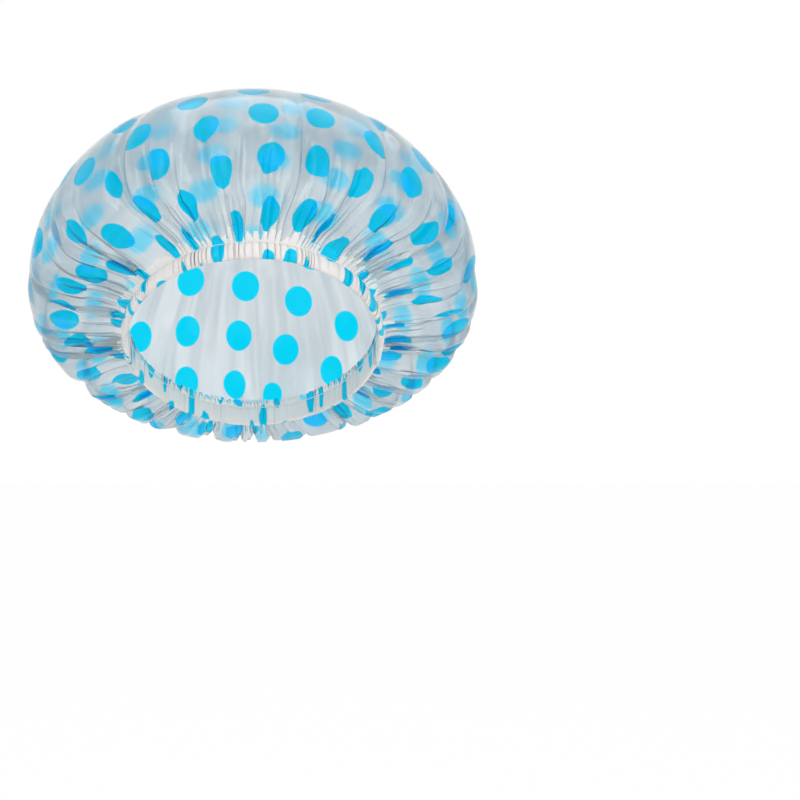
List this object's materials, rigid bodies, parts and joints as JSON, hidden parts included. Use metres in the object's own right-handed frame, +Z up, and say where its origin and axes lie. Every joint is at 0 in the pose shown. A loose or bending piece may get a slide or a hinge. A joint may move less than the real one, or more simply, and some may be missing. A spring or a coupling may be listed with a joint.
{
  "type": "shower cap",
  "caption": "Gathered shower cap of dotted translucent film with a turned hem around a flat sewn elastic; sits on a head and keeps hair dry.",
  "frame": {"origin": "centre of the head opening, in the plane of the hem's folded edge", "axes": "+Z up on an upright wearer, -Y the way the wearer faces, +X the wearer's left; the opening is tipped 32 degrees about X, forehead high"},
  "size_m": [0.2834, 0.2619, 0.2261],
  "materials": {
    "film": "frosted soft film printed with cyan dots",
    "elastic": "white woven elastic",
    "thread": "white sewing thread"
  },
  "bodies": {
    "root": {"film_cap": "film", "elastic_band": "elastic", "elastic_tack_thread": "thread", "hem_needle_thread": "thread", "hem_bobbin_thread": "thread"}
  },
  "joints": []
}
